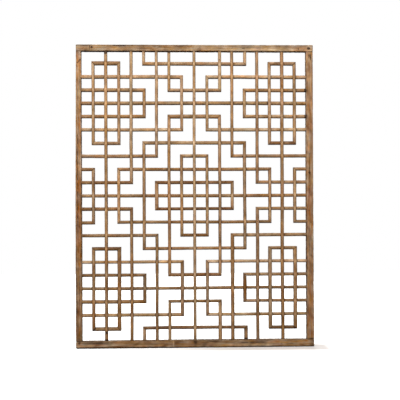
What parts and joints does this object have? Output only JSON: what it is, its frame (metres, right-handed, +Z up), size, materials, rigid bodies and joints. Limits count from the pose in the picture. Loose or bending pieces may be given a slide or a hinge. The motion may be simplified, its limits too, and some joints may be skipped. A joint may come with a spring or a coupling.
{
  "type": "wooden lattice wall panel",
  "caption": "Old rectangular wooden lattice panel: a mortised frame with round-fronted bars, half-lapped and mitred into nested rings and hooks, made to be fixed flat to a wall.",
  "frame": {"origin": "centre of the top rail's back face, which lies against the wall", "axes": "+X to the right as seen from the front, +Y into the wall, +Z up"},
  "size_m": [1.001, 0.028, 1.273],
  "materials": {
    "frame_wood": "dry, unfinished, weathered",
    "bar_wood": "dry, unfinished, worn at the crossings"
  },
  "bodies": {
    "root": {"top_rail": "frame_wood", "bottom_rail": "frame_wood", "left_stile": "frame_wood", "right_stile": "frame_wood", "corner_ring_top_left": "bar_wood", "corner_ring_top_right": "bar_wood", "corner_ring_bottom_left": "bar_wood", "corner_ring_bottom_right": "bar_wood", "long_hook_top_left": "bar_wood", "long_hook_top_right": "bar_wood", "long_hook_bottom_left": "bar_wood", "long_hook_bottom_right": "bar_wood", "short_hook_top_left": "bar_wood", "short_hook_top_right": "bar_wood", "short_hook_bottom_left": "bar_wood", "short_hook_bottom_right": "bar_wood", "inner_elbow_top_left": "bar_wood", "inner_elbow_top_right": "bar_wood", "inner_elbow_bottom_left": "bar_wood", "inner_elbow_bottom_right": "bar_wood", "outer_elbow_top_left": "bar_wood", "outer_elbow_top_right": "bar_wood", "outer_elbow_bottom_left": "bar_wood", "outer_elbow_bottom_right": "bar_wood", "wide_hook_top": "bar_wood", "deep_hook_top": "bar_wood", "wide_hook_bottom": "bar_wood", "deep_hook_bottom": "bar_wood", "narrow_hook_left": "bar_wood", "narrow_hook_right": "bar_wood", "tall_ring": "bar_wood", "square_ring": "bar_wood", "slim_ring": "bar_wood", "wide_ring": "bar_wood", "flat_ring": "bar_wood", "upright_bar_left": "bar_wood", "upright_bar_middle": "bar_wood", "upright_bar_right": "bar_wood", "level_bar_upper": "bar_wood", "level_bar_middle": "bar_wood", "level_bar_lower": "bar_wood"}
  },
  "joints": []
}
